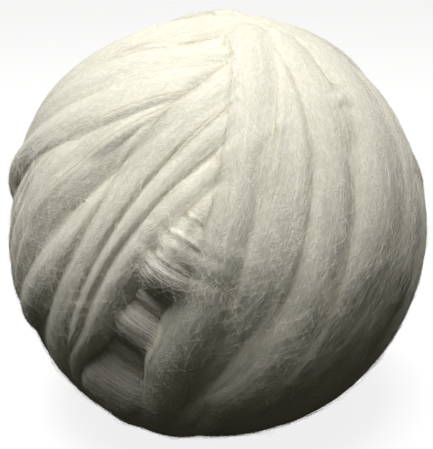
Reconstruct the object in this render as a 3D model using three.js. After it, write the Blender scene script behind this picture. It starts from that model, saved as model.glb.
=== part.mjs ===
import * as THREE from 'three';
import { mergeVertices } from 'three/addons/utils/BufferGeometryUtils.js';

// A hand-wound ball of thick unspun wool roving, resting on a small flat spot.
// Millimetres, +Z up. The origin is the middle of the flat spot, under the ball's centre,
// and the parting that shows the under layer faces -Y.

// The ball: crown radius of its outer turns, height of its centre, and the core under all turns.
const BALL_RADIUS = 140;
const CENTRE_HEIGHT = 134;
const FLAT_RADIUS = 40;
const FLAT_RIM_SLOPE = 0.3;
const CORE_RADIUS = 122;

// A turn wavers a little as it goes round, in its path (mm) and in its width (share), by so many
// waves a turn. The first turn starts its waves at an angle, and each next one later by a phase (radians).
const PATH_WAVER = { size: 1.5, waves: 3, start: 1.72, phase: 1 };
const WIDTH_WAVER = { size: 0.08, waves: 2, start: 1.03, phase: 1.7 };

// A later turn presses the earlier ones down under it, from a far to a near share of its half width.
// The looser turns of the under layer give way from further off.
const PRESS_DEPTH = 9;
const PRESS_NEAR = 0.1;
const PRESS_FAR = 1.05;
const LOOSE_FAR = 1.6;

// Low on the left the strands beside the parting draw in, sink and swing apart, within these
// reaches of its foot, given as cosines of the angle from it.
const PARTING_FOOT = new THREE.Vector3(-0.45, -0.55, -0.7).normalize();
const PINCH_REACH = [0.45, 1];
const SINK_REACH = [0.3, 0.75];
const SWAY_REACH = [0.8, 1];

// The ball is pressed in at a hollow, a pocket gapes under the last turn on the crown, the right fan
// lies in a bed, and the under layer swells out in the parting: the way to each place, how far
// round it reaches as a cosine, and the depth (mm).
const HOLLOW = { way: new THREE.Vector3(0.64, -0.72, -0.26).normalize(), reach: 0.93, depth: 3 };
const POCKET = { way: new THREE.Vector3(-0.08, -0.22, 0.97).normalize(), reach: 0.985, depth: 5 };
const BED = { way: new THREE.Vector3(0.72, 0, 0.68).normalize(), reach: 0.85, depth: 4 };
const SWELLS = [
  { way: new THREE.Vector3(-0.06, -0.93, 0.35).normalize(), reach: 0.93, depth: 9 },
  { way: new THREE.Vector3(-0.12, -0.99, 0.06).normalize(), reach: 0.95, depth: 3 },
  { way: new THREE.Vector3(-0.47, -0.77, -0.43).normalize(), reach: 0.94, depth: 4 },
];

// Strands that touch mat together, which fills the crease between them over this depth (mm).
const FELTED_DEPTH = 1.8;

// Beyond its half width a strand falls away ever steeper, by this much a half width squared (mm).
const SKIRT_CURVE = 45;

// The skin: a divided icosahedron, whose points slide onto the creases between strands.
const SKIN_DETAIL = 23;
const SLIDE_MOST = 0.44;
const CREASE_STEPS = 12;

const WOOL = { color: 0xe8e2cf, roughness: 0.95, metalness: 0 };

// Every turn in the order of winding, so that a later one lies over the earlier ones.
// azimuth and elevation aim the axis that the turn goes round, and offset shifts it along
// that axis (degrees). half is half the strand's width, lift its crown above the ball's radius,
// edge how far its sides fall away and tilt how much higher it lies towards its axis (mm). At the
// parting's foot pinch is the share of its width that it loses, sink how much lower it lies and
// sway how far it swings aside (mm).

// Turns side by side about one axis, each a step (degrees) further along it.
function batch(count, step, first) {
  return Array.from({ length: count }, (_, i) => ({ ...first, offset: first.offset + step * i }));
}

// Under layer, whose locks show in the parting.
const UNDER_AXIS = { azimuth: -25, elevation: 62 };
const UNDER_TURNS = [
  { ...UNDER_AXIS, offset: -66, half: 15, lift: -8, edge: 6 },
  { ...UNDER_AXIS, offset: -52, half: 17, lift: -8, edge: 6 },
  { ...UNDER_AXIS, offset: -14.5, half: 22, lift: -13, edge: 5 },
  { ...UNDER_AXIS, offset: 4.5, half: 16, lift: -9, edge: 5 },
  { ...UNDER_AXIS, offset: -32, half: 26, lift: -1, edge: 9 },
  { ...UNDER_AXIS, offset: -4, half: 14, lift: -4.5, edge: 7 },
  { ...UNDER_AXIS, offset: 13, half: 13.5, lift: -2, edge: 7 },
  { ...UNDER_AXIS, offset: 30, half: 15, lift: -6, edge: 2 },
  { ...UNDER_AXIS, offset: 24, half: 8, lift: -5.5, edge: 2 },
  { ...UNDER_AXIS, offset: 19.5, half: 8, lift: -5, edge: 2.5 },
];

// Turns round the parting, then over the top and round the far side.
const FAR_TURNS = [
  ...batch(10, 14, { azimuth: -106, elevation: -6, offset: -84, half: 26, lift: -6, edge: 4 }),
  ...batch(2, -14, { azimuth: 100, elevation: 32, offset: 56, half: 16, lift: -5, edge: 5 }),
  ...batch(5, 12, { azimuth: -130, elevation: 33, offset: -69, half: 17, lift: -4, edge: 5 }),
];

// Left fan, from the crown of the ball out over its left side.
const LEFT_TURNS = [
  { azimuth: 92, elevation: 45, offset: 33, half: 18, lift: -2.5, edge: 5 },
  { azimuth: 105, elevation: 43, offset: 9, half: 15, lift: -5, edge: 5 },
  { azimuth: 107, elevation: 36, offset: 1, half: 15, lift: -3, edge: 5 },
  { azimuth: 124, elevation: 36, offset: 3, half: 14, lift: -2, edge: 5, tilt: 2.5 },
  { azimuth: 107, elevation: 27, offset: -5, half: 15, lift: -2, edge: 5, tilt: -2 },
  { azimuth: 104, elevation: 51, offset: 20, half: 14, lift: 0.5, edge: 6, tilt: -1.5 },
  { azimuth: 89, elevation: 45, offset: 20.5, half: 16, lift: -1, edge: 5 },
  { azimuth: 144, elevation: 42, offset: 10, half: 13, lift: -1, edge: 5 },
  { azimuth: 148.5, elevation: 28, offset: 5.5, half: 15, lift: -1, edge: 5 },
  { azimuth: 142.5, elevation: 28, offset: -5, half: 9, lift: -1, edge: 5 },
  { azimuth: 135, elevation: 27, offset: -16, half: 10, lift: -1, edge: 7, pinch: 0.2, sway: 12 },
];

// Right fan, from the crown down the right side and under to the left, and a last turn over the top.
const RIGHT_TURNS = [
  { azimuth: -134, elevation: 32, offset: -4.5, half: 28, lift: -3, edge: 5 },
  {
    azimuth: -154.5, elevation: 25, offset: 15.5, half: 22, lift: 0, edge: 3,
    tilt: 1.5, pinch: 0.3, sink: 6.5, sway: -16,
  },
  { azimuth: -128, elevation: 30, offset: 16, half: 23, lift: 0, edge: 4, pinch: 0.3 },
  {
    azimuth: -141.5, elevation: 22.5, offset: 16.5, half: 17, lift: 0.6, edge: 5.5,
    pinch: 0.3, sway: -16,
  },
  {
    azimuth: -165.5, elevation: 22.5, offset: 17, half: 16.5, lift: 1, edge: 5,
    tilt: 2, pinch: 0.3, sway: -18,
  },
  { azimuth: 100, elevation: 32, offset: 28.5, half: 20, lift: 0, edge: 8 },
];

const TURNS = [...UNDER_TURNS, ...FAR_TURNS, ...LEFT_TURNS, ...RIGHT_TURNS];
const LOOSE_TURNS = UNDER_TURNS.length;
const BEDDED_TURNS = TURNS.length - RIGHT_TURNS.length;

// Owners of the skin that are not turns.
const CORE = -1;
const FLAT = -2;
const RIM = -3;

// Each turn with its axis and the two directions square to it, from which its angle is counted.
const WOUND = TURNS.map((turn, order) => {
  const azimuth = THREE.MathUtils.degToRad(turn.azimuth);
  const elevation = THREE.MathUtils.degToRad(turn.elevation);
  const level = Math.cos(elevation);
  const axis = new THREE.Vector3(level * Math.cos(azimuth), level * Math.sin(azimuth), Math.sin(elevation));
  const start = new THREE.Vector3().crossVectors(axis, new THREE.Vector3(0, 0, 1)).normalize();
  return {
    tilt: 0,
    pinch: 0,
    sink: 0,
    sway: 0,
    ...turn,
    order,
    axis,
    start,
    quarter: new THREE.Vector3().crossVectors(axis, start),
    offset: THREE.MathUtils.degToRad(turn.offset),
  };
});

// A turn's waver at an angle round its axis.
function waver({ size, waves, start, phase }, turn, round) {
  return size * Math.sin(waves * round + start + phase * turn.order);
}

// Sideways shift, half width and sinking (mm) of a strand at an angle round its turn.
function course(turn, round) {
  const { axis, start, quarter, offset } = turn;
  const level = Math.cos(round) * start.dot(PARTING_FOOT) + Math.sin(round) * quarter.dot(PARTING_FOOT);
  const nearness = Math.cos(offset) * level + Math.sin(offset) * axis.dot(PARTING_FOOT);
  const within = ([far, near]) => THREE.MathUtils.smoothstep(nearness, far, near);
  return {
    shift: turn.sway * within(SWAY_REACH) - waver(PATH_WAVER, turn, round),
    half: turn.half * (1 + waver(WIDTH_WAVER, turn, round)) * (1 - turn.pinch * within(PINCH_REACH)),
    sunk: turn.sink * within(SINK_REACH),
  };
}

// Where a direction lies across a strand, in half widths, and how far the strand sinks there (mm).
function across(turn, direction) {
  const round = Math.atan2(direction.dot(turn.quarter), direction.dot(turn.start));
  const latitude = Math.asin(THREE.MathUtils.clamp(direction.dot(turn.axis), -1, 1));
  const { shift, half, sunk } = course(turn, round);
  return { share: (BALL_RADIUS * (latitude - turn.offset) - shift) / half, sunk };
}

// How far (mm) a turn presses down what lies under it, by the place across it.
function press(share, far) {
  return PRESS_DEPTH * (1 - THREE.MathUtils.smoothstep(Math.abs(share), PRESS_NEAR, far));
}

// Depth (mm) of a place along a direction.
function depthOf({ way, reach, depth }, direction) {
  return depth * THREE.MathUtils.smoothstep(direction.dot(way), reach, 1);
}

// Height (mm) of a strand at a place across it, counted from its crown.
function section(turn, share) {
  const inside = THREE.MathUtils.clamp(share, -1, 1);
  const over = Math.abs(share - inside);
  return turn.tilt * inside - turn.edge * (inside ** 2 + 2 * over) - SKIRT_CURVE * over ** 2;
}

// Radius of the wound surface along a direction, and the turn that lies on top there.
function surface(direction) {
  const hollow = depthOf(HOLLOW, direction);
  const pocket = depthOf(POCKET, direction);
  const bed = depthOf(BED, direction);
  const swell = SWELLS.reduce((sum, place) => sum + depthOf(place, direction), 0);
  let radius = CORE_RADIUS;
  let second = CORE_RADIUS;
  let owner = CORE;
  let firm = 0;
  let loose = 0;
  for (let order = WOUND.length - 1; order >= 0; order -= 1) {
    const turn = WOUND[order];
    const { share, sunk } = across(turn, direction);
    let pressed = hollow + sunk + (order < LOOSE_TURNS ? loose - swell : firm);
    pressed += order < WOUND.length - 1 ? pocket : 0;
    pressed += order < BEDDED_TURNS ? bed : 0;
    const ridge = BALL_RADIUS + turn.lift - pressed + section(turn, share);
    if (ridge > radius) {
      second = radius;
      radius = ridge;
      owner = order;
    } else {
      second = Math.max(second, ridge);
    }
    firm = Math.max(firm, press(share, PRESS_FAR));
    loose = Math.max(loose, press(share, LOOSE_FAR));
  }
  const filled = FELTED_DEPTH * Math.log1p(Math.exp((second - radius) / FELTED_DEPTH));
  return restOnFlat(direction, radius + filled, owner);
}

// The ball's own weight presses a flat spot at its foot, and packs the strands together there and
// round its rim.
function restOnFlat(direction, radius, owner) {
  if (direction.z >= 0) {
    return { radius, owner };
  }
  const out = Math.hypot(direction.x, direction.y);
  const flat = CENTRE_HEIGHT / -direction.z;
  const beyond = Math.acos(-direction.z) - Math.atan2(FLAT_RADIUS, CENTRE_HEIGHT);
  const rim = Math.hypot(CENTRE_HEIGHT, FLAT_RADIUS) - FLAT_RIM_SLOPE * BALL_RADIUS * beyond;
  if (flat * out < FLAT_RADIUS || radius > flat) {
    return { radius: flat, owner: FLAT };
  }
  return rim > radius ? { radius: rim, owner: RIM } : { radius, owner };
}

// Share of the way from one direction to another at which the strand on top changes.
function creaseBetween(from, to, owner) {
  let near = 0;
  let far = 1;
  const probe = new THREE.Vector3();
  for (let step = 0; step < CREASE_STEPS; step += 1) {
    const middle = (near + far) / 2;
    probe.lerpVectors(from, to, middle).normalize();
    if (surface(probe).owner === owner) {
      near = middle;
    } else {
      far = middle;
    }
  }
  return (near + far) / 2;
}

// Slides each point of the skin along its edges to the nearest crease, where one is close by.
function slideToCreases(directions, corners) {
  const owners = directions.map((direction) => surface(direction).owner);
  const slides = directions.map(() => ({ share: SLIDE_MOST, towards: null }));
  for (let corner = 0; corner < corners.length; corner += 1) {
    const from = corners[corner];
    const to = corners[corner % 3 === 2 ? corner - 2 : corner + 1];
    if (from > to || owners[from] === owners[to]) {
      continue;
    }
    const share = creaseBetween(directions[from], directions[to], owners[from]);
    if (share < slides[from].share) {
      slides[from] = { share, towards: to };
    }
    if (1 - share < slides[to].share) {
      slides[to] = { share: 1 - share, towards: from };
    }
  }
  return directions.map((direction, point) => {
    const { share, towards } = slides[point];
    return towards === null ? direction : direction.clone().lerp(directions[towards], share).normalize();
  });
}

// The ball as one closed skin, each point set out along its direction to the wound surface.
function woundBall() {
  const sphere = new THREE.IcosahedronGeometry(1, SKIN_DETAIL);
  sphere.deleteAttribute('normal');
  sphere.deleteAttribute('uv');
  const skin = mergeVertices(sphere);
  const position = skin.getAttribute('position');
  const even = Array.from({ length: position.count }, (_, point) => (
    new THREE.Vector3().fromBufferAttribute(position, point).normalize()
  ));
  slideToCreases(even, skin.index.array).forEach((direction, point) => {
    const { radius, owner } = surface(direction);
    const height = owner === FLAT ? 0 : CENTRE_HEIGHT + radius * direction.z;
    position.setXYZ(point, radius * direction.x, radius * direction.y, height);
  });
  skin.computeVertexNormals();
  const ball = new THREE.Mesh(skin, new THREE.MeshStandardMaterial(WOOL));
  ball.name = 'wound_ball';
  return ball;
}

const yarn = new THREE.Group();
yarn.add(woundBall());

export default yarn;
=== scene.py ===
import math
from collections import namedtuple

import bmesh
import bpy
import numpy as np
from mathutils import Matrix, Vector


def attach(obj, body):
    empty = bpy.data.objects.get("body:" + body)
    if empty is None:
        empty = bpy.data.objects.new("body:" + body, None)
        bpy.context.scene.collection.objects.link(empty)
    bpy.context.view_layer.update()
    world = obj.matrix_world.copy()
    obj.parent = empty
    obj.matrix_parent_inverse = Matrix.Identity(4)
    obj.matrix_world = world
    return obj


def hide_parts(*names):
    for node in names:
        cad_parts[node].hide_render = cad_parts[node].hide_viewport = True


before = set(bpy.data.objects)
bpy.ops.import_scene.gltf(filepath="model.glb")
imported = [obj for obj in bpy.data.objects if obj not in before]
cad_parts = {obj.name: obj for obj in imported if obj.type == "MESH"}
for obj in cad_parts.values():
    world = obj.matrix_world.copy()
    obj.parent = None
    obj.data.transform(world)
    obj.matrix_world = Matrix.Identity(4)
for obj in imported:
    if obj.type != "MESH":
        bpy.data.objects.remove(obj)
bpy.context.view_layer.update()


# Heart
# The roving that was wound first, deep inside the ball. It is the same combed wool, and the later turns
# hold it in. It shows only at the bottom of the gaps between them, and its colour is painted shade for them.

MM = 0.001
CENTRE_HEIGHT = 134.0
CORE_RADIUS = 122.0
# Darker than the outer wool's cream: painted shade for the bottom of the gaps.
SHADED_HEART_CREAM = (0.62, 0.57, 0.44)
DEEP_SHADED_HEART_CREAM = (0.50, 0.45, 0.33)
STREAKED = (0.65, 0.25, 0.1)


def fibre_streaks():
    """Node group: locks and streaks of fibres that run along a strand, and a fuzz of short curled ones that
    lie every way, from its lay."""
    group = bpy.data.node_groups.new("Fibre streaks", "ShaderNodeTree")
    group.interface.new_socket("Lay", in_out="INPUT", socket_type="NodeSocketVector")
    for name in ("Lock", "Streak", "Fuzz"):
        group.interface.new_socket(name, in_out="OUTPUT", socket_type="NodeSocketFloat")
    entry = group.nodes.new("NodeGroupInput")
    leave = group.nodes.new("NodeGroupOutput")

    def lines(lay, along, over, detail):
        """Noise drawn out along the strand: scales along and across it (per metre)."""
        stretch = group.nodes.new("ShaderNodeMapping")
        stretch.vector_type = "TEXTURE"
        stretch.inputs["Scale"].default_value = (1 / along, 1 / along, 1 / over)
        noise = group.nodes.new("ShaderNodeTexNoise")
        noise.inputs["Scale"].default_value = 1.0
        noise.inputs["Detail"].default_value = detail
        noise.inputs["Roughness"].default_value = 0.6
        noise.inputs["Distortion"].default_value = 0.3
        group.links.new(lay, stretch.inputs["Vector"])
        group.links.new(stretch.outputs["Vector"], noise.inputs["Vector"])
        return noise.outputs["Fac"]

    group.links.new(lines(entry.outputs["Lay"], 13, 190, 3.0), leave.inputs["Lock"])
    group.links.new(lines(entry.outputs["Lay"], 45, 1000, 4.0), leave.inputs["Streak"])
    wander = group.nodes.new("ShaderNodeTexNoise")
    wander.inputs["Scale"].default_value = 120
    wander.inputs["Detail"].default_value = 2.0
    group.links.new(entry.outputs["Lay"], wander.inputs["Vector"])
    astray = group.nodes.new("ShaderNodeVectorMath")
    astray.operation = "MULTIPLY_ADD"
    astray.inputs[1].default_value = (0.006, 0.006, 0.010)
    group.links.new(wander.outputs["Color"], astray.inputs[0])
    group.links.new(entry.outputs["Lay"], astray.inputs[2])
    hairs = group.nodes.new("ShaderNodeMath")
    hairs.operation = "PINGPONG"
    hairs.inputs[1].default_value = 0.1
    group.links.new(lines(astray.outputs[0], 90, 900, 2.0), hairs.inputs[0])
    fuzz = group.nodes.new("ShaderNodeMath")
    fuzz.operation = "DIVIDE"
    fuzz.inputs[1].default_value = 0.1
    group.links.new(hairs.outputs[0], fuzz.inputs[0])
    group.links.new(fuzz.outputs[0], leave.inputs["Fuzz"])
    return group


FIBRE_STREAKS = fibre_streaks()


def combed_wool(name, pale, deep, mix, combing, fuzz):
    """Cream combed wool: pale and deep fibres in a mix of streaks, locks and fuzz (shares), matt, with
    painted shade of a yellow olive in the creases. combing and fuzz are the heights (m) that the fibres
    stand up."""
    wool = bpy.data.materials.new(name)
    wool.use_nodes = True
    nodes, links = wool.node_tree.nodes, wool.node_tree.links
    shader = nodes["Principled BSDF"]
    shader.inputs["Sheen Weight"].default_value = 0.2
    shader.inputs["Sheen Roughness"].default_value = 0.5
    shader.inputs["Sheen Tint"].default_value = (1.0, 0.97, 0.9, 1)
    shader.inputs["Specular IOR Level"].default_value = 0.2
    lay = nodes.new("ShaderNodeAttribute")
    lay.attribute_name = "lay"
    streaks = nodes.new("ShaderNodeGroup")
    streaks.node_tree = FIBRE_STREAKS
    links.new(lay.outputs["Vector"], streaks.inputs["Lay"])

    def weigh(source, weight, rest=None):
        """A value times its weight, added to the rest."""
        part = nodes.new("ShaderNodeMath")
        part.operation = "MULTIPLY_ADD"
        part.inputs[1].default_value = weight
        part.inputs[2].default_value = 0
        links.new(source, part.inputs[0])
        if rest is not None:
            links.new(rest, part.inputs[2])
        return part.outputs[0]

    lines = weigh(streaks.outputs["Streak"], mix[0], weigh(streaks.outputs["Lock"], mix[1]))
    mixed = weigh(streaks.outputs["Fuzz"], mix[2], lines)
    tone = nodes.new("ShaderNodeValToRGB")
    tone.color_ramp.elements[0].position = 0.36
    tone.color_ramp.elements[0].color = (*deep, 1)
    tone.color_ramp.elements[1].position = 0.64
    tone.color_ramp.elements[1].color = (*pale, 1)
    links.new(mixed, tone.inputs["Fac"])
    # Painted shade: the colour is drawn towards a yellow olive where a strand meets its neighbour (margin
    # near 0), warmed as by light that scatters through the wool. It comes and goes with the locks.
    margin = nodes.new("ShaderNodeAttribute")
    margin.attribute_name = "margin"
    off = nodes.new("ShaderNodeMath")
    off.operation = "ABSOLUTE"
    links.new(margin.outputs["Fac"], off.inputs[0])
    crease = nodes.new("ShaderNodeMath")
    crease.operation = "POWER"
    crease.inputs[0].default_value = 0.55
    links.new(off.outputs[0], crease.inputs[1])
    comes = nodes.new("ShaderNodeMapRange")
    comes.inputs["From Min"].default_value = 0.4
    comes.inputs["From Max"].default_value = 0.6
    comes.inputs["To Max"].default_value = 0.7
    links.new(streaks.outputs["Lock"], comes.inputs["Value"])
    seen = nodes.new("ShaderNodeMath")
    seen.operation = "MULTIPLY"
    links.new(crease.outputs[0], seen.inputs[0])
    links.new(comes.outputs["Result"], seen.inputs[1])
    crease_shaded = nodes.new("ShaderNodeMix")
    crease_shaded.data_type = "RGBA"
    crease_shaded.inputs["B"].default_value = (0.50, 0.44, 0.27, 1)
    links.new(seen.outputs[0], crease_shaded.inputs["Factor"])
    links.new(tone.outputs["Color"], crease_shaded.inputs["A"])
    links.new(crease_shaded.outputs["Result"], shader.inputs["Base Color"])

    dull = nodes.new("ShaderNodeMapRange")
    dull.inputs["From Min"].default_value = 0.35
    dull.inputs["From Max"].default_value = 0.65
    dull.inputs["To Min"].default_value = 0.95
    dull.inputs["To Max"].default_value = 0.75
    links.new(streaks.outputs["Streak"], dull.inputs["Value"])
    links.new(dull.outputs["Result"], shader.inputs["Roughness"])

    combs = nodes.new("ShaderNodeBump")
    combs.inputs["Distance"].default_value = combing
    links.new(lines, combs.inputs["Height"])
    fuzzy = nodes.new("ShaderNodeBump")
    fuzzy.inputs["Distance"].default_value = fuzz
    links.new(streaks.outputs["Fuzz"], fuzzy.inputs["Height"])
    links.new(combs.outputs["Normal"], fuzzy.inputs["Normal"])
    links.new(fuzzy.outputs["Normal"], shader.inputs["Normal"])
    return wool


def settle(piece, material):
    """Dresses a piece of the ball and sets it in the place of the plain one."""
    piece.data.materials.append(material)
    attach(piece, "root")
    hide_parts("wound_ball")


heart_shape = bmesh.new()
bmesh.ops.create_icosphere(heart_shape, subdivisions=5, radius=CORE_RADIUS * MM,
                           matrix=Matrix.Translation((0, 0, CENTRE_HEIGHT * MM)))
heart_mesh = bpy.data.meshes.new("heart")
heart_shape.to_mesh(heart_mesh)
heart_shape.free()
heart_mesh.shade_smooth()
heart = bpy.data.objects.new("heart", heart_mesh)
bpy.context.scene.collection.objects.link(heart)
shaded_heart_wool = combed_wool("wool_heart_shaded", SHADED_HEART_CREAM, DEEP_SHADED_HEART_CREAM, mix=STREAKED, combing=0.0, fuzz=0.0)
settle(heart, shaded_heart_wool)


# Under turns
# The layer that shows as locks in the parting, wound about a steep axis. The roving is combed wool in one
# thick unspun strand. Here it is less rubbed than outside, so its fibres lie straight; their shine is
# painted as strong pale streaks over a deep tone that is darker than outside, as painted shade for the
# parting.

BALL_RADIUS = 140.0

# A turn wavers in its path (mm) and its width (share), by so many waves a turn, each next turn later.
PATH_WAVER = {"size": 1.5, "waves": 3, "start": 1.72, "phase": 1.0}
WIDTH_WAVER = {"size": 0.08, "waves": 2, "start": 1.03, "phase": 1.7}

# A later turn presses earlier ones down (mm), from the far to the near share of its half width. The looser
# turns of the under layer give way from further off.
PRESS_DEPTH = 9.0
PRESS_NEAR, PRESS_FAR, LOOSE_FAR = 0.1, 1.05, 1.6

# Low on the left the strands beside the parting draw in and swing apart, within these reaches of its
# foot, given as cosines of the angle from it.
PARTING_FOOT = Vector((-0.45, -0.55, -0.7)).normalized()
PINCH_REACH = (0.45, 1.0)
SINK_REACH = (0.3, 0.75)
SWAY_REACH = (0.8, 1.0)

# A place on the ball: the way to it from the centre, how far round it reaches as a cosine, and a depth
# (mm). The ball is pressed in at its hollow, a pocket gapes under the last turn on the crown, the right
# fan lies in a bed, and the under layer swells out in the parting. Round the felted places the strands
# have matted together, or less so where the depth is below 0.
Place = namedtuple("Place", "x y z reach depth")
HOLLOW = Place(0.64, -0.72, -0.26, 0.93, 3.0)
POCKET = Place(-0.08, -0.22, 0.97, 0.985, 5.0)
BED = Place(0.72, 0.0, 0.68, 0.85, 4.0)
SWELLS = [
    Place(-0.06, -0.93, 0.35, 0.93, 9.0),
    Place(-0.12, -0.99, 0.06, 0.95, 3.0),
    Place(-0.47, -0.77, -0.43, 0.94, 4.0),
]
FELTED_LEAST = 1.8
FELTED = [
    Place(-0.75, -0.53, 0.40, 0.97, 3.0),
    Place(-0.44, -0.85, -0.29, 0.93, 1.5),
    Place(0.08, -0.93, -0.36, 0.96, 1.5),
    Place(-0.16, -0.96, 0.22, 0.95, 3.0),
    Place(0.20, -0.77, 0.60, 0.975, 2.0),
    Place(-0.33, -0.62, 0.71, 0.955, 6.0),
    Place(0.15, -0.55, 0.82, 0.80, 1.6),
    Place(-0.50, -0.40, 0.77, 0.80, 1.6),
    Place(-0.06, -0.94, 0.33, 0.95, 2.0),
    Place(0.38, -0.92, -0.06, 0.90, 1.6),
    Place(0.45, -0.72, -0.52, 0.80, 2.0),
    Place(-0.08, -0.22, 0.97, 0.97, -2.8),
    Place(0.07, -0.44, 0.89, 0.985, -2.0),
    Place(0.49, -0.51, 0.71, 0.98, 3.0),
]

# A turn goes round an axis aimed by azimuth and elevation, shifted along it by offset (degrees). half is
# half the strand's width, lift its crown above the ball's radius, edge the depth of its rounded side and
# tilt how much higher it lies on the side towards its axis (mm). combing is the share of the combed
# ridges that is left, pinch the share of its width lost at the parting's foot, sink how much lower it lies
# there and sway how far it swings aside (mm). Later turns lie over earlier ones.
Turn = namedtuple("Turn", "azimuth elevation offset half lift edge combing tilt pinch sink sway",
                  defaults=(5, 0.5, 0, 0, 0, 0))


def batch(count, step, first):
    """Turns side by side about one axis, each a step further along it."""
    return [first._replace(offset=first.offset + step * number) for number in range(count)]


UNDER_TURNS = [
    Turn(-25, 62, -66, 15, -8, 6, 0.9),
    Turn(-25, 62, -52, 17, -8, 6, 0.9),
    Turn(-25, 62, -14.5, 22, -13, 5, 0.9),
    Turn(-25, 62, 4.5, 16, -9, 5, 0.9),
    Turn(-25, 62, -32, 26, -1, 9, 0.9),
    Turn(-25, 62, -4, 14, -4.5, 7, 0.9),
    Turn(-25, 62, 13, 13.5, -2, 7, 0.9),
    Turn(-25, 62, 30, 15, -6, 2, 0.6),
    Turn(-25, 62, 24, 8, -5.5, 2, 0.7),
    Turn(-25, 62, 19.5, 8, -5, 2.5, 0.7),
]
FAR_TURNS = [
    *batch(10, 14, Turn(-106, -6, -84, 26, -6, 4)),
    *batch(2, -14, Turn(100, 32, 56, 16, -5)),
    *batch(5, 12, Turn(-130, 33, -69, 17, -4)),
]
LEFT_TURNS = [
    Turn(92, 45, 33, 18, -2.5),
    Turn(105, 43, 9, 15, -5),
    Turn(107, 36, 1, 15, -3),
    Turn(124, 36, 3, 14, -2, 5, 0.6, 2.5),
    Turn(107, 27, -5, 15, -2, 5, 0.5, -2.0),
    Turn(104, 51, 20, 14, 0.5, 6, 0.5, -1.5),
    Turn(89, 45, 20.5, 16, -1),
    Turn(144, 42, 10, 13, -1, 5, 0.8),
    Turn(148.5, 28, 5.5, 15, -1, 5, 0.8),
    Turn(142.5, 28, -5, 9, -1, 5, 0.6),
    Turn(135, 27, -16, 10, -1, 7, 0.6, 0, 0.2, 0, 12),
]
RIGHT_TURNS = [
    Turn(-134, 32, -4.5, 28, -3, 5, 0.4),
    Turn(-154.5, 25, 15.5, 22, 0, 3, 0.4, 1.5, 0.3, 6.5, -16),
    Turn(-128, 30, 16, 23, 0, 4, 0.4, 0, 0.3),
    Turn(-141.5, 22.5, 16.5, 17, 0.6, 5.5, 0.4, 0, 0.3, 0, -16),
    Turn(-165.5, 22.5, 17, 16.5, 1, 5, 0.4, 2, 0.3, 0, -18),
    Turn(100, 32, 28.5, 20, 0, 8, 0.4),
]
WINDING = UNDER_TURNS + FAR_TURNS + LEFT_TURNS + RIGHT_TURNS
LOOSE_TURNS = len(UNDER_TURNS)
BEDDED_TURNS = len(WINDING) - len(RIGHT_TURNS)


def axes_of(turn):
    """The turn's axis, and the two directions square to it from which its angle is counted."""
    azimuth, elevation = math.radians(turn.azimuth), math.radians(turn.elevation)
    level = math.cos(elevation)
    axis = Vector((level * math.cos(azimuth), level * math.sin(azimuth), math.sin(elevation)))
    start = axis.cross(Vector((0, 0, 1))).normalized()
    return axis, start, axis.cross(start)


AXES = [axes_of(turn) for turn in WINDING]


def smoothstep(value, low, high):
    """From 0 at low to 1 at high, with a smooth start and end."""
    share = np.clip((value - low) / (high - low), 0, 1)
    return share * share * (3 - 2 * share)


def course(order, around):
    """Sideways shift, half width and sinking (mm) of a strand, at angles round its turn."""
    turn = WINDING[order]
    axis, start, quarter = AXES[order]
    offset = math.radians(turn.offset)
    level = np.cos(around) * start.dot(PARTING_FOOT) + np.sin(around) * quarter.dot(PARTING_FOOT)
    nearness = math.cos(offset) * level + math.sin(offset) * axis.dot(PARTING_FOOT)
    path, width = (
        waver["size"] * np.sin(waver["waves"] * around + waver["start"] + waver["phase"] * order)
        for waver in (PATH_WAVER, WIDTH_WAVER)
    )
    shift = turn.sway * smoothstep(nearness, *SWAY_REACH) - path
    half = turn.half * (1 + width) * (1 - turn.pinch * smoothstep(nearness, *PINCH_REACH))
    return shift, half, turn.sink * smoothstep(nearness, *SINK_REACH)


def across(order, direction):
    """Angle round the turn of each direction, its place across the strand in half widths, and how far the
    strand sinks there (mm)."""
    axis, start, quarter = AXES[order]
    around = np.arctan2(direction @ quarter, direction @ start)
    latitude = np.arcsin(np.clip(direction @ axis, -1, 1))
    shift, half, sunk = course(order, around)
    return around, (BALL_RADIUS * (latitude - math.radians(WINDING[order].offset)) - shift) / half, sunk


def press(share, far):
    """How far (mm) a turn presses down what lies under it, by the place across it."""
    return PRESS_DEPTH * (1 - smoothstep(np.abs(share), PRESS_NEAR, far))


# The combing leaves ridges along a strand: spacing, height and sideways drift (mm). They fade out from a
# share of its half width, and RIDGE_MEAN is the mean height of a ridge's rounded wave, as a share.
COMBING_SEED = 1008
COMBING = [(15.0, 0.5, 5.0), (10.0, 0.35, 4.0), (6.3, 0.22, 3.0), (4.1, 0.14, 2.0), (2.7, 0.08, 1.5)]
RIDGE_FADE = 0.85
RIDGE_MEAN = 0.76


def combed(order, around, girth):
    """Height (mm) of the combed ridges, from the angle round the turn and the place round the girth."""
    draw = np.random.default_rng(COMBING_SEED + order)
    height = np.zeros(len(around))
    for spacing, tall, drift in COMBING:
        waves = draw.integers(1, 6, 3)
        phases = draw.uniform(0, 2 * math.pi, 4)
        slide = np.sin(waves[0] * around + phases[0]) + 0.5 * np.sin(2 * waves[1] * around + phases[1])
        fade = 0.65 + 0.35 * np.sin(waves[2] * around + phases[2])
        ridge = np.sqrt(np.abs(np.sin(math.pi * (girth + drift * slide) / spacing + phases[3])))
        height += tall * fade * (ridge - RIDGE_MEAN)
    return height


# Fibres hang down from a strand's sides, to so many half widths from its middle, ever steeper.
SKIRT = 1.4
SKIRT_CURVE = 45.0


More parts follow.
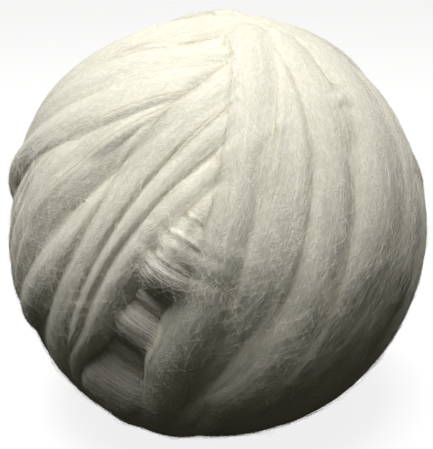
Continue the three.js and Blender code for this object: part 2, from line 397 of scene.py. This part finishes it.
def strand_height(order, around, share):
    """Height (mm) over the strand's crown at places across it, and how far along its surface they lie."""
    turn = WINDING[order]
    inside = np.clip(share, -1, 1)
    girth = np.arcsin(inside) * (turn.half + turn.edge) / 2 + (share - inside) * turn.half
    relief = turn.combing * combed(order, around, girth) * smoothstep(np.abs(inside), 1, RIDGE_FADE)
    lens = turn.tilt * inside - turn.edge * inside * inside
    over = np.abs(share - inside)
    return relief + lens - 2 * turn.edge * over - SKIRT_CURVE * over * over, girth


def on_ball(order, around, latitude):
    """Directions at angles round a turn's axis and along it."""
    axis, start, quarter = AXES[order]
    spoke = np.cos(around)[..., None] * start + np.sin(around)[..., None] * quarter
    return np.cos(latitude)[..., None] * spoke + np.sin(latitude)[..., None] * axis


def near(place, direction):
    """How near directions come to a place, from 0 at its reach to 1 in its middle."""
    return smoothstep(direction @ Vector(place[:3]).normalized(), place.reach, 1)


def layers(direction):
    """Radius (mm) of every strand along each direction, and how far it is pressed down there."""
    radius = np.full((len(WINDING), len(direction)), CORE_RADIUS)
    pressed = np.empty_like(radius)
    hollow = HOLLOW.depth * near(HOLLOW, direction)
    pocket = POCKET.depth * near(POCKET, direction)
    bed = BED.depth * near(BED, direction)
    swell = sum(place.depth * near(place, direction) for place in SWELLS)
    firm, loose = np.zeros((2, len(direction)))
    for order in reversed(range(len(WINDING))):
        pressed[order] = hollow + (loose - swell if order < LOOSE_TURNS else firm)
        around, share, sunk = across(order, direction)
        pressed[order] += sunk
        if order < len(WINDING) - 1:
            pressed[order] += pocket
        if order < BEDDED_TURNS:
            pressed[order] += bed
        held = np.flatnonzero(np.abs(share) < SKIRT)
        height = strand_height(order, around[held], share[held])[0]
        radius[order, held] = BALL_RADIUS + WINDING[order].lift - pressed[order, held] + height
        firm = np.maximum(firm, press(share, PRESS_FAR))
        loose = np.maximum(loose, press(share, LOOSE_FAR))
    return radius, pressed


# Felting fills a share of each crease, at the finest over this depth (mm), and comes and goes over the
# ball in waves. A strand that goes on under its neighbour lies an underlap (mm) below that one's skin,
# reached over a start (mm). It keeps to it by the sink's share, and dives once it is deeper than the
# over depth (mm).
FELTED_SHARE = 0.9
FELTED_FINEST = 0.4
FELTED_OVER = 1.5
FELTED_SINK = 0.95
UNDERLAP = 0.12
UNDERLAP_START = 0.2
FELTED_WAVES = np.array([(5.0, -3.0, 2.0), (3.0, 6.0, -4.0)]).T
FELTED_COMES = 0.6


def felted(direction, margin):
    """Height (mm) that felting adds to a strand where it lies a margin (mm) above its neighbour, so that the
    crease between them fills, here more and there less. Beyond the crease the strand goes on a little way
    just under its neighbour's skin, and then dives."""
    comes = 1 + FELTED_COMES * np.sin(direction @ FELTED_WAVES).prod(axis=1)
    soft = FELTED_LEAST * comes + sum(place.depth * near(place, direction) for place in FELTED)
    soft = np.maximum(soft, FELTED_FINEST)
    filled = FELTED_SHARE * soft * np.log1p(np.exp(-np.abs(margin) / soft))
    below = np.maximum(-margin, 0)
    kept = FELTED_SINK * below - UNDERLAP * smoothstep(below, 0, UNDERLAP_START)
    return (filled + kept) * (1 - smoothstep(below, FELTED_OVER, 3 * FELTED_OVER))


def lay_strand(order, around, share):
    """Points (mm, from the ball's centre) on a strand at angles round its turn and places across it in half
    widths, how far along its surface they lie, and how far above the other strands."""
    turn = WINDING[order]
    shift, half, _ = course(order, around)
    latitude = math.radians(turn.offset) + (shift + half * share) / BALL_RADIUS
    direction = on_ball(order, around, latitude)
    others, pressed = layers(direction)
    height, girth = strand_height(order, around, share)
    radius = BALL_RADIUS + turn.lift - pressed[order] + height
    others[order] = CORE_RADIUS
    margin = radius - others.max(axis=0)
    radius += felted(direction, margin)
    return direction * radius[:, None], girth, margin


def skin(direction):
    """Radius (mm) of the wound surface along each direction, and the turn on top there."""
    radius = layers(direction)[0]
    second, top = np.partition(radius, -2, axis=0)[-2:]
    return top + felted(direction, top - second), radius.argmax(axis=0)


# The surface is felt so far to either side (radians), in two ways square to each other. ASKEW sets the
# first.
FEEL = 0.006
ASKEW = (0.3, 0.5, 0.8)


def facing(direction):
    """The way the wound surface faces along each direction, felt a little way to either side."""
    sideways = np.cross(direction, ASKEW)
    sideways /= np.linalg.norm(sideways, axis=1)[:, None]
    face = direction.copy()
    for way in (sideways, np.cross(direction, sideways)):
        ahead, behind = (direction + step * way for step in (FEEL, -FEEL))
        rise = np.log(skin(ahead / np.linalg.norm(ahead, axis=1)[:, None])[0])
        rise -= np.log(skin(behind / np.linalg.norm(behind, axis=1)[:, None])[0])
        face -= rise[:, None] / (2 * FEEL) * way
    return face / np.linalg.norm(face, axis=1)[:, None]


def to_frame(points):
    """Millimetres from the ball's centre to metres in the frame, pressed flat on the surface below."""
    placed = points + np.array((0, 0, CENTRE_HEIGHT))
    placed[..., 2] = np.maximum(placed[..., 2], 0)
    return placed * MM


# Each turn starts as a ring of a tube of radius 1, at this reach from its middle, stacked at this
# spacing. The outside share of the tube becomes the strand, less what lies this deep (mm) under others
# or in the heart, and a gap parts the turns in the flat map.
RING_REACH = 3.0
STACK = 4.0
OUTSIDE = 0.85
HIDDEN_DEPTH = -9.0
HEART_DEPTH = 4.0
MAP_GAP = 0.01


def unrolled(angle, corners, parts):
    """Angles at the corners of faces as shares of a turn, each face kept on one side of the seam."""
    faces = angle[corners].reshape(-1, 4)
    astride = np.ptp(faces, axis=1)[:, None] > math.pi
    faces = np.where(astride & (faces < 0), faces + 2 * math.pi, faces)
    return (faces.ravel() + math.pi) / (2 * math.pi) / (1 + 1 / parts)


def wind(name, first, count, sides, steps):
    """A piece of turns from the winding: each starts as a plain ring, one stacked above another, and its
    outside is laid onto the ball. The inside, and what lies deep under other strands, are left out."""
    shape = bmesh.new()
    place = Matrix.Translation((RING_REACH, 0, 0)) @ Matrix.Rotation(math.pi / 2, 4, "X")
    bmesh.ops.create_circle(shape, segments=sides, radius=1, matrix=place)
    bmesh.ops.spin(shape, geom=shape.verts[:] + shape.edges[:], axis=(0, 0, 1), angle=2 * math.pi,
                   steps=steps, use_merge=True)
    bmesh.ops.recalc_face_normals(shape, faces=shape.faces)
    ring = shape.verts[:] + shape.edges[:] + shape.faces[:]
    for level in range(1, count):
        copy = bmesh.ops.duplicate(shape, geom=ring)["geom"]
        points = [part for part in copy if isinstance(part, bmesh.types.BMVert)]
        bmesh.ops.translate(shape, vec=(0, 0, STACK * level), verts=points)
    mesh = bpy.data.meshes.new(name)
    shape.to_mesh(mesh)
    shape.free()

    plain = np.empty(len(mesh.vertices) * 3, np.float32)
    mesh.vertices.foreach_get("co", plain)
    plain = plain.reshape(-1, 3).astype(float)
    level = np.rint(plain[:, 2] / STACK).astype(int)
    around = np.arctan2(plain[:, 1], plain[:, 0])
    even = np.arctan2(plain[:, 2] - STACK * level, np.hypot(plain[:, 0], plain[:, 1]) - RING_REACH)
    share = even / (OUTSIDE * math.pi)
    laid = np.empty_like(plain)
    lay = np.empty_like(plain)
    margin, radius = np.empty((2, len(plain)))
    for number in range(count):
        own = level == number
        points, girth, margin[own] = lay_strand(first + number, around[own], SKIRT * share[own])
        radius[own] = np.linalg.norm(points, axis=1)
        laid[own] = to_frame(points)
        lay[own, 0] = BALL_RADIUS * MM * np.cos(around[own])
        lay[own, 1] = BALL_RADIUS * MM * np.sin(around[own])
        lay[own, 2] = girth * MM + first + number
    mesh.vertices.foreach_set("co", laid.astype(np.float32).ravel())
    lays = mesh.attributes.new("lay", "FLOAT_VECTOR", "POINT")
    lays.data.foreach_set("vector", lay.astype(np.float32).ravel())
    margins = mesh.attributes.new("margin", "FLOAT", "POINT")
    margins.data.foreach_set("value", margin.astype(np.float32))

    corners = np.empty(len(mesh.loops), np.int32)
    mesh.loops.foreach_get("vertex_index", corners)
    places = np.empty((len(corners), 2), np.float32)
    places[:, 0] = unrolled(around, corners, steps)
    girths = MAP_GAP + (1 - 2 * MAP_GAP) * unrolled(even, corners, sides)
    places[:, 1] = (level[corners] + girths) / count
    mesh.uv_layers.new(name="OFBake").data.foreach_set("uv", places.ravel())

    hidden = (margin < HIDDEN_DEPTH) | (np.abs(share) > 1) | (radius < CORE_RADIUS - HEART_DEPTH)
    shape = bmesh.new()
    shape.from_mesh(mesh)
    deep = [point for point in shape.verts if hidden[point.index]]
    bmesh.ops.delete(shape, geom=deep, context="VERTS")
    shape.to_mesh(mesh)
    shape.free()
    mesh.shade_smooth()
    points = laid[~hidden] - np.array((0, 0, CENTRE_HEIGHT * MM))
    mesh.normals_split_custom_set_from_vertices(facing(points / np.linalg.norm(points, axis=1)[:, None]))
    piece = bpy.data.objects.new(name, mesh)
    bpy.context.scene.collection.objects.link(piece)
    return piece


# Painted shade and shine: the deep tone is much darker than the outer wool's, for the shade of the parting,
# and the strong streaks between it and the pale tone paint the shine of the straight fibres.
SILKY_CREAM = (0.90, 0.88, 0.80)
DEEP_SHADED_SILKY_CREAM = (0.52, 0.48, 0.39)
UPPER_LOCKS = 3
first_upper = len(UNDER_TURNS) - UPPER_LOCKS
under = wind("under_turns", 0, first_upper, sides=36, steps=200)
silky_shaded_wool = combed_wool("wool_under", SILKY_CREAM, DEEP_SHADED_SILKY_CREAM, mix=STREAKED,
                         combing=0.0015, fuzz=0.0001)
settle(under, silky_shaded_wool)


# Upper locks
# The last three turns of the under layer, low ridges at the top of the parting. Their wool is as rubbed
# and matted as the outside of the ball, and the two fans close over their ends.

CREAM = (0.90, 0.885, 0.77)
DEEP_CREAM = (0.80, 0.775, 0.635)
MATTED = (0.27, 0.3, 0.43)
outer_wool = combed_wool("wool_outer", CREAM, DEEP_CREAM, mix=MATTED, combing=0.0005, fuzz=0.0001)
upper = wind("upper_locks", first_upper, UPPER_LOCKS, sides=36, steps=200)
settle(upper, outer_wool)


# Far turns
# Seventeen turns of the roving over the top and round the far side, laid side by side about three axes.
# They were wound before the two fans, which partly cover them and press them down.

first = len(UNDER_TURNS)
far = wind("far_turns", first, len(FAR_TURNS), sides=32, steps=200)
settle(far, outer_wool)


# Left fan
# Eleven turns of the roving that spread from the crown of the ball over its left side. They press down
# what they cross, and they dive under the right fan.

first += len(FAR_TURNS)
left = wind("left_fan", first, len(LEFT_TURNS), sides=44, steps=300)
settle(left, outer_wool)


# Right fan
# The last six turns of the roving, the broadest. Five sweep from the crown down the right side and under
# to the left, and the last lies across the crown and holds the others down.

first += len(LEFT_TURNS)
right = wind("right_fan", first, len(RIGHT_TURNS), sides=60, steps=320)
settle(right, outer_wool)


# Combed fibres
# The wool itself: fine fibres that lie along the strands, a little astray, and soften every crease.
# Nothing but the winding holds them.

# A fibre is a tube of so many sides. The lowest lie this share of the ball's radius from its centre,
# just above the flat spot. Their crimp goes on by a radian in each run (mm), and a gap parts them in the
# flat map.
FIBRE_SIDES = 3
LOWEST_FIBRE = -0.93
CRIMP_RUN = 2.5
CELL_GAP = 0.05


def fibre_faces(steps):
    """Triangles of one fibre, a closed tube that tapers to a point at both ends, and their flat places."""
    last = 1 + FIBRE_SIDES * (steps - 2)

    def corner(step, side):
        """A corner's number among the fibre's points, and its flat place."""
        if step == 0:
            return 0, (0.0, (side + 0.5) / FIBRE_SIDES)
        if step == steps - 1:
            return last, (1.0, (side + 0.5) / FIBRE_SIDES)
        return 1 + FIBRE_SIDES * (step - 1) + side % FIBRE_SIDES, (step / (steps - 1), side / FIBRE_SIDES)

    triangles = []
    for side in range(FIBRE_SIDES):
        for step in range(steps - 1):
            if step < steps - 2:
                triangles.append([corner(step, side), corner(step + 1, side + 1), corner(step + 1, side)])
            if step > 0:
                triangles.append([corner(step, side), corner(step, side + 1), corner(step + 1, side + 1)])
    index = np.array([[point for point, _ in triangle] for triangle in triangles])
    place = np.array([[flat for _, flat in triangle] for triangle in triangles])
    return index, place


def ringed(ends):
    """Values at the points of fibres, repeated for the corners of the tube round each point."""
    return np.concatenate([ends[:, :1], np.repeat(ends[:, 1:-1], FIBRE_SIDES, 1), ends[:, -1:]], 1)


# A fibre's faces lean out from the ball, partly round its own tube, and up.
SOFT_ROUND = 0.4
SOFT_UP = Vector((0, 0, 0.4))


def tubes(name, points, out, thickness, shade):
    """A piece of fibres along rows of points (mm), with the way out from the ball at each of them. Light
    soaks through a fibre, so its faces are lit as if they leant outwards and up."""
    count, steps = points.shape[:2]
    side = np.cross(np.gradient(points, axis=1), out)
    side /= np.linalg.norm(side, axis=2)[..., None]
    angle = np.tile(np.arange(FIBRE_SIDES) * 2 * math.pi / FIBRE_SIDES, steps - 2)
    angle = np.concatenate([[0], angle, [0]])[:, None]
    spoke = np.cos(angle) * ringed(out) + np.sin(angle) * ringed(side)
    taper = np.sqrt(np.sin(math.pi * np.linspace(0, 1, steps)))
    reach = ringed(taper * thickness[:, None] / 2)[..., None]
    vertices = ringed(points) + reach * spoke
    index, place = fibre_faces(steps)
    faces = index[None] + (np.arange(count) * vertices.shape[1])[:, None, None]
    mesh = bpy.data.meshes.new(name)
    mesh.from_pydata(to_frame(vertices).reshape(-1, 3), [], faces.reshape(-1, 3))
    tints = np.repeat(shade.astype(np.float32), vertices.shape[1])
    mesh.attributes.new("shade", "FLOAT", "POINT").data.foreach_set("value", tints)
    grid = math.ceil(math.sqrt(count))
    cell = np.stack(np.divmod(np.arange(count), grid), 1)[:, None, None]
    flat = (cell + CELL_GAP + (1 - 2 * CELL_GAP) * place[None]) / grid
    mesh.uv_layers.new(name="OFBake").data.foreach_set("uv", flat.astype(np.float32).ravel())
    mesh.shade_smooth()
    facing = ringed(out) + SOFT_ROUND * spoke + SOFT_UP
    facing /= np.linalg.norm(facing, axis=2)[..., None]
    mesh.normals_split_custom_set_from_vertices(facing.reshape(-1, 3))
    piece = bpy.data.objects.new(name, mesh)
    piece.visible_shadow = False
    bpy.context.scene.collection.objects.link(piece)
    return piece


def comb(name, count, seed, steps, top, gather, length, astray, curl, rise, thickness):
    """Fibres spread over the ball, up to a top (share of its radius) and more of them lower down where
    gather is under 1: the steps along each, their length (mm, least and most), how far they stray from the
    run of the strand (radians), how wide they curl, how high they rise and how thick they are (mm)."""
    draw = np.random.default_rng(seed)
    up = top - (top - LOWEST_FIBRE) * draw.uniform(0, 1, count) ** gather
    compass = draw.uniform(0, 2 * math.pi, count)
    level = np.sqrt(1 - up * up)
    root = np.stack([level * np.cos(compass), level * np.sin(compass), up], 1)
    owner = skin(root)[1]
    reach = draw.uniform(*length, count)[:, None]
    along = np.linspace(-0.5, 0.5, steps) * reach
    slant = draw.normal(0, astray, count)[:, None]
    bend = draw.normal(0, astray, count)[:, None]
    crimp = draw.uniform(0.5, 1.5, count)[:, None] * curl
    phase = draw.uniform(0, 2 * math.pi, count)[:, None]
    aside = along * slant + bend * along * along / reach + crimp * np.sin(along / CRIMP_RUN + phase)
    direction = np.empty((count, steps, 3))
    for order in range(len(WINDING)):
        own = np.flatnonzero(owner == order)
        axis, start, quarter = AXES[order]
        around = np.arctan2(root[own] @ quarter, root[own] @ start)[:, None]
        latitude = np.arcsin(np.clip(root[own] @ axis, -1, 1))[:, None]
        turned = around + along[own] / (BALL_RADIUS * np.cos(latitude))
        direction[own] = on_ball(order, turned, latitude + aside[own] / BALL_RADIUS)
    radius = skin(direction.reshape(-1, 3))[0].reshape(count, steps)
    even = (np.roll(radius, 1, 1) + 2 * radius + np.roll(radius, -1, 1)) / 4
    radius[:, 1:-1] = np.maximum(radius, even)[:, 1:-1]
    share = np.linspace(-1, 1, steps)
    bow = draw.exponential(rise, count)[:, None] * (1 - share * share)
    free = draw.exponential(rise, count)[:, None] * np.maximum(share, 0) ** 2
    radius += bow + free
    return tubes(name, direction * radius[..., None], direction, draw.uniform(*thickness, count),
                 draw.uniform(0, 1, count))


def fibre_wool():
    """Wool fibres of uneven tone, each of one colour from its shade."""
    wool = bpy.data.materials.new("wool_fibre")
    wool.use_nodes = True
    nodes, links = wool.node_tree.nodes, wool.node_tree.links
    shader = nodes["Principled BSDF"]
    shader.inputs["Roughness"].default_value = 0.7
    shader.inputs["Sheen Weight"].default_value = 0.25
    shader.inputs["Sheen Roughness"].default_value = 0.4
    shader.inputs["Sheen Tint"].default_value = (1.0, 0.96, 0.86, 1)
    shader.inputs["Specular IOR Level"].default_value = 0.3
    shade = nodes.new("ShaderNodeAttribute")
    shade.attribute_name = "shade"
    tone = nodes.new("ShaderNodeValToRGB")
    tone.color_ramp.elements[0].color = (0.84, 0.81, 0.70, 1)
    tone.color_ramp.elements[1].color = (0.95, 0.92, 0.82, 1)
    links.new(shade.outputs["Fac"], tone.inputs["Fac"])
    links.new(tone.outputs["Color"], shader.inputs["Base Color"])
    return wool


fibre_material = fibre_wool()
combed_fibres = comb("combed_fibres", 7000, seed=41, steps=5, top=1.0, gather=1.0, length=(20, 45),
                     astray=0.15, curl=0.3, rise=0.15, thickness=(0.04, 0.09))
settle(combed_fibres, fibre_material)


# Stray hairs
# Loose wool hairs that have worked out of the strands, crossing them at all angles and standing off as
# fuzz. Each is still caught in its strand at one end.

hairs = comb("stray_hairs", 8000, seed=43, steps=6, top=1.0, gather=0.8, length=(6, 18),
             astray=0.7, curl=0.8, rise=0.5, thickness=(0.04, 0.08))
settle(hairs, fibre_material)


# Fine hairs
# A thin down of crimped wool hairs that catches the light over the shaded lower half. They cling to the
# strands that they came from.

down = comb("fine_hairs", 8000, seed=53, steps=6, top=0.5, gather=0.7, length=(8, 20),
            astray=0.9, curl=1.2, rise=0.5, thickness=(0.05, 0.11))
settle(down, fibre_material)


# Loose curls
# Longer crimped wool hairs that stand off the sides of the ball, below where it was last smoothed by hand.
# Each is still caught in its strand at one end.

curls = comb("loose_curls", 4200, seed=47, steps=9, top=0.6, gather=0.55, length=(10, 24),
             astray=1.0, curl=1.8, rise=0.8, thickness=(0.05, 0.12))
settle(curls, fibre_material)


# Floor, light and camera
# A pale studio floor under a broad overhead light, with the camera a little above the ball. The floor
# and the room are white to the camera, and they throw little light back at the wool.

FLOOR_RADIUS = 6.0
floor_shape = bmesh.new()
bmesh.ops.create_circle(floor_shape, cap_ends=True, segments=96, radius=FLOOR_RADIUS)
floor_mesh = bpy.data.meshes.new("floor")
floor_shape.to_mesh(floor_mesh)
floor_shape.free()
floor = bpy.data.objects.new("floor", floor_mesh)
bpy.context.scene.collection.objects.link(floor)
paper = bpy.data.materials.new("studio_paper")
paper.use_nodes = True
nodes, links = paper.node_tree.nodes, paper.node_tree.links
seen = nodes["Principled BSDF"]
seen.inputs["Base Color"].default_value = (0.35, 0.35, 0.35, 1)
seen.inputs["Roughness"].default_value = 0.9
seen.inputs["Specular IOR Level"].default_value = 0.0
seen.inputs["Emission Color"].default_value = (1, 1, 1, 1)
seen.inputs["Emission Strength"].default_value = 0.85
unseen = nodes.new("ShaderNodeBsdfDiffuse")
unseen.inputs["Color"].default_value = (0.03, 0.03, 0.025, 1)
path = nodes.new("ShaderNodeLightPath")
mix = nodes.new("ShaderNodeMixShader")
links.new(path.outputs["Is Camera Ray"], mix.inputs["Fac"])
links.new(unseen.outputs["BSDF"], mix.inputs[1])
links.new(seen.outputs["BSDF"], mix.inputs[2])
links.new(mix.outputs["Shader"], nodes["Material Output"].inputs["Surface"])
floor_mesh.materials.append(paper)

world = bpy.data.worlds.new("studio")
bpy.context.scene.world = world
world.use_nodes = True
nodes, links = world.node_tree.nodes, world.node_tree.links
room = nodes["Background"]
room.inputs["Color"].default_value = (1.0, 0.95, 0.70, 1)
room.inputs["Strength"].default_value = 0.05
backdrop = nodes.new("ShaderNodeBackground")
backdrop.inputs["Color"].default_value = (1, 1, 1, 1)
path = nodes.new("ShaderNodeLightPath")
mix = nodes.new("ShaderNodeMixShader")
links.new(path.outputs["Is Camera Ray"], mix.inputs["Fac"])
links.new(room.outputs["Background"], mix.inputs[1])
links.new(backdrop.outputs["Background"], mix.inputs[2])
links.new(mix.outputs["Shader"], nodes["World Output"].inputs["Surface"])


def softbox(name, place, aim, size, power):
    """A square lamp at a place, aimed at a point: its side (m) and its power (W)."""
    lamp = bpy.data.lights.new(name, "AREA")
    lamp.size = size
    lamp.energy = power
    box = bpy.data.objects.new(name, lamp)
    box.location = place
    box.rotation_euler = (Vector(aim) - Vector(place)).to_track_quat("-Z", "Y").to_euler()
    bpy.context.scene.collection.objects.link(box)


BALL_CENTRE = Vector((0, 0, CENTRE_HEIGHT * MM))
softbox("overhead", place=(-0.12, -0.26, 1.48), aim=BALL_CENTRE, size=1.0, power=23.0)

LENS, SENSOR = 85.0, 36.0
CAMERA_ELEVATION = math.radians(20)
CAMERA_DISTANCE = 0.704
FRAME_SHIFT = Vector((-0.001, 0, 0.001))
camera = bpy.data.cameras.new("camera")
camera.lens = LENS
camera.sensor_width = SENSOR
viewer = bpy.data.objects.new("camera", camera)
back = Vector((0, -math.cos(CAMERA_ELEVATION), math.sin(CAMERA_ELEVATION)))
viewer.location = BALL_CENTRE + back * CAMERA_DISTANCE + FRAME_SHIFT
viewer.rotation_euler = back.to_track_quat("Z", "Y").to_euler()
bpy.context.scene.collection.objects.link(viewer)
bpy.context.scene.camera = viewer
bpy.context.scene.view_settings.view_transform = "Standard"
bpy.context.scene.cycles.denoising_prefilter = "NONE"
